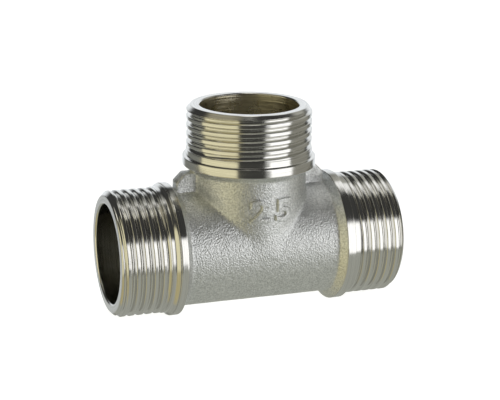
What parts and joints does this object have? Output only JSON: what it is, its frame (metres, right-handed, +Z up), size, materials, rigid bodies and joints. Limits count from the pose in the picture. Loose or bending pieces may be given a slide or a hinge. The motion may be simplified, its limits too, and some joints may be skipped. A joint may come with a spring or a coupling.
{
  "type": "pipe tee",
  "caption": "Equal tee for pipework: one forged, plated brass body with a straight run, an upright branch, a parallel male thread and a turned collar at each end, and a smooth through bore.",
  "frame": {"origin": "where the axis of the run meets the axis of the branch", "axes": "+X along the run, +Z up along the branch, Y across the parting plane of the forging"},
  "size_m": [0.0772, 0.035, 0.055],
  "materials": {
    "blasted_nickel": "dull nickel plate over a shot-blasted forging",
    "turned_nickel": "bright nickel plate over lathe-turned metal"
  },
  "bodies": {
    "root": {"tee_body": "blasted_nickel"}
  },
  "joints": []
}
